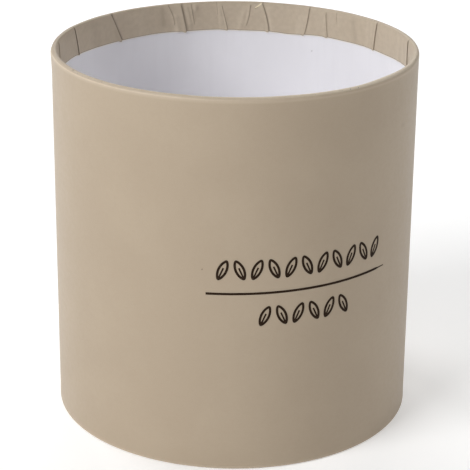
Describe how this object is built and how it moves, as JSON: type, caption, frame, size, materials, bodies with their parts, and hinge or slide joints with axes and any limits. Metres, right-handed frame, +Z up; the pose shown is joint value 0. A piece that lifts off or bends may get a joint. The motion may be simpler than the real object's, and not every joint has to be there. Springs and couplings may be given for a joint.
{
  "type": "flower box",
  "caption": "Round lidless flower box: rolled greyboard wall and base disc covered in glued paper, with a pleated turn-in at the rim.",
  "frame": {"origin": "centre of the footprint, on the surface that the box stands on", "axes": "+Z up through the open mouth; -Y faces the printed front; +X is the right side seen from the front"},
  "size_m": [0.17, 0.1702, 0.176],
  "materials": {
    "greyboard": "raw recycled greyboard, matt and fibrous",
    "kraft_tape": "gummed kraft paper tape, satin",
    "white_paper": "uncoated white paper, matt",
    "wrap_paper": "taupe coated paper, soft satin",
    "cover_paper": "taupe coated paper, soft satin",
    "print_ink": "dark brown screen-printed ink on paper, matt"
  },
  "bodies": {
    "root": {"wall_board": "greyboard", "joint_tape": "kraft_tape", "inner_lining": "white_paper", "outer_wrap": "wrap_paper", "base_board": "greyboard", "base_lining": "white_paper", "base_cover": "cover_paper"}
  },
  "joints": []
}
